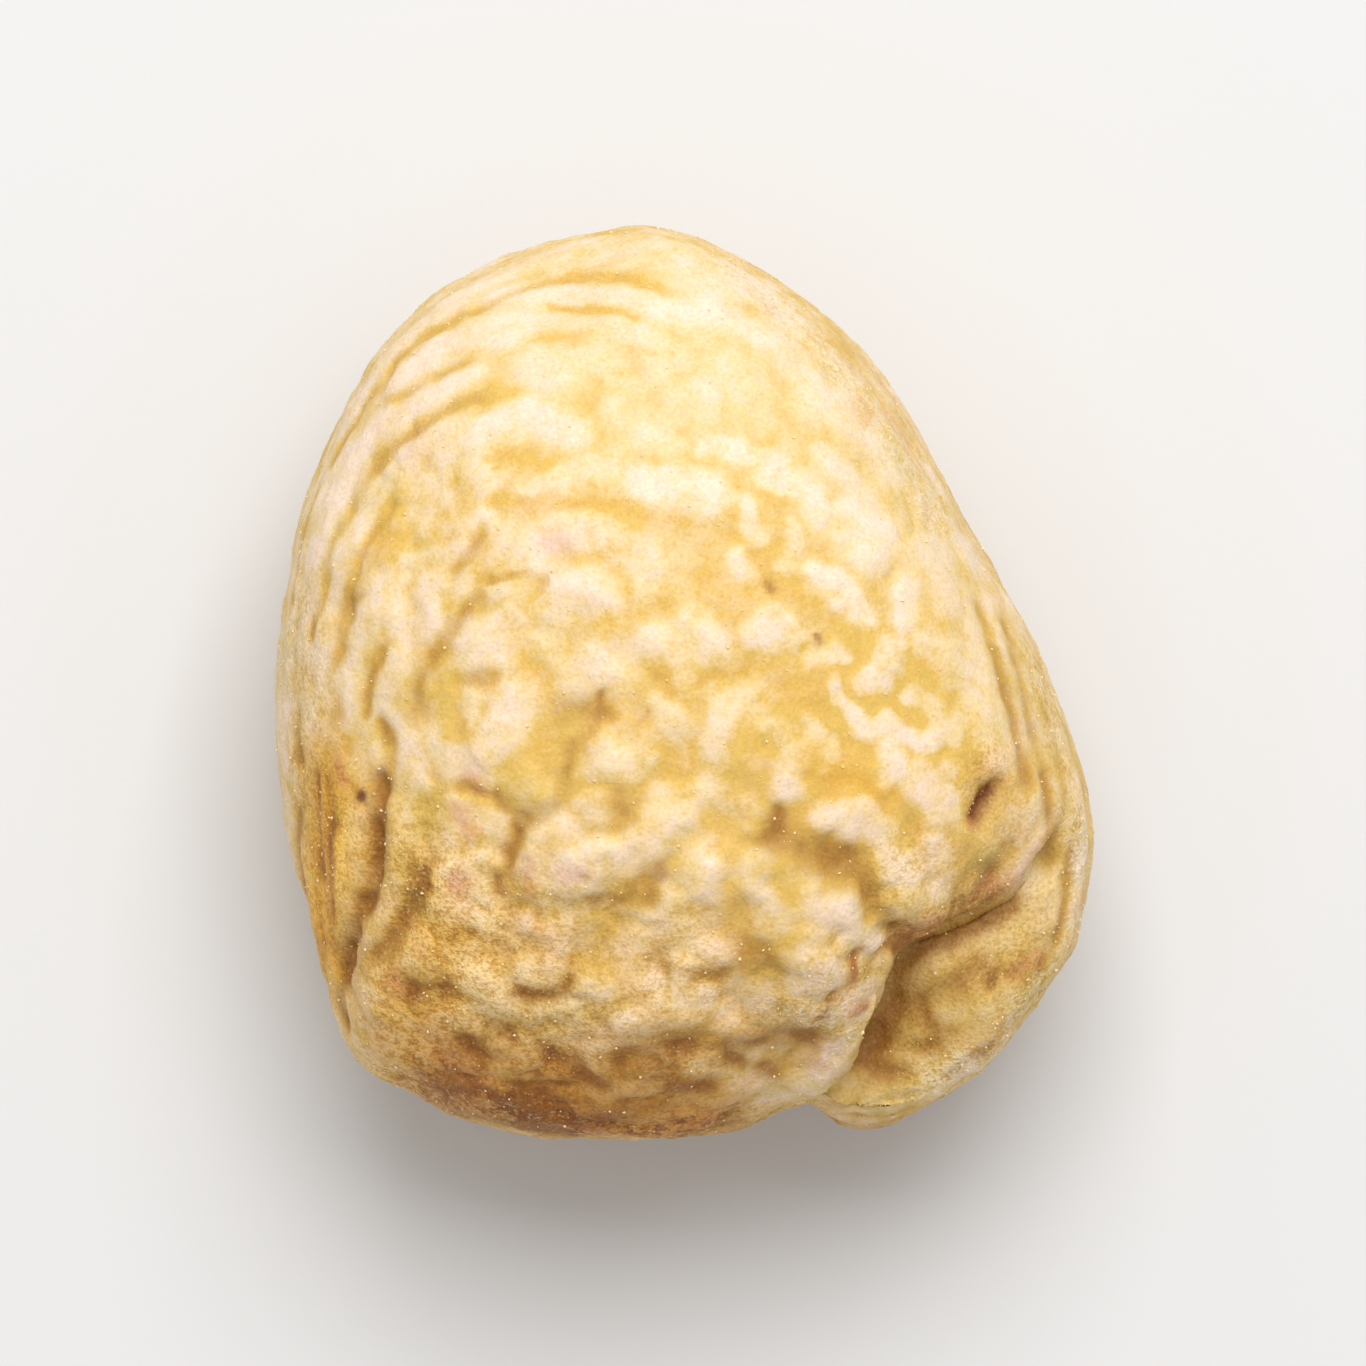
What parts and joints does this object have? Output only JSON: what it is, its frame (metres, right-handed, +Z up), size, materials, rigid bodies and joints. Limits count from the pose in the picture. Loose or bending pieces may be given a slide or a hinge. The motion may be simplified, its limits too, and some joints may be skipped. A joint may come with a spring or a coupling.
{
  "type": "peeled chestnut kernel",
  "caption": "Peeled chestnut kernel, a wrinkled, pale yellow rounded triangle with a curved fold and a low lobe at one corner, lying on a small flat spot.",
  "frame": {"origin": "middle of the bounding box, on the surface that the kernel rests on", "axes": "+Z up, away from the resting surface; +Y along the kernel, from the broad folded end to the narrower round end; +X across it, towards the side that carries the low lobe"},
  "size_m": [0.0299, 0.0333, 0.0215],
  "materials": {
    "kernel_flesh": "matt, moist flesh with a thin dusting of frost"
  },
  "bodies": {
    "root": {"kernel": "kernel_flesh"}
  },
  "joints": []
}
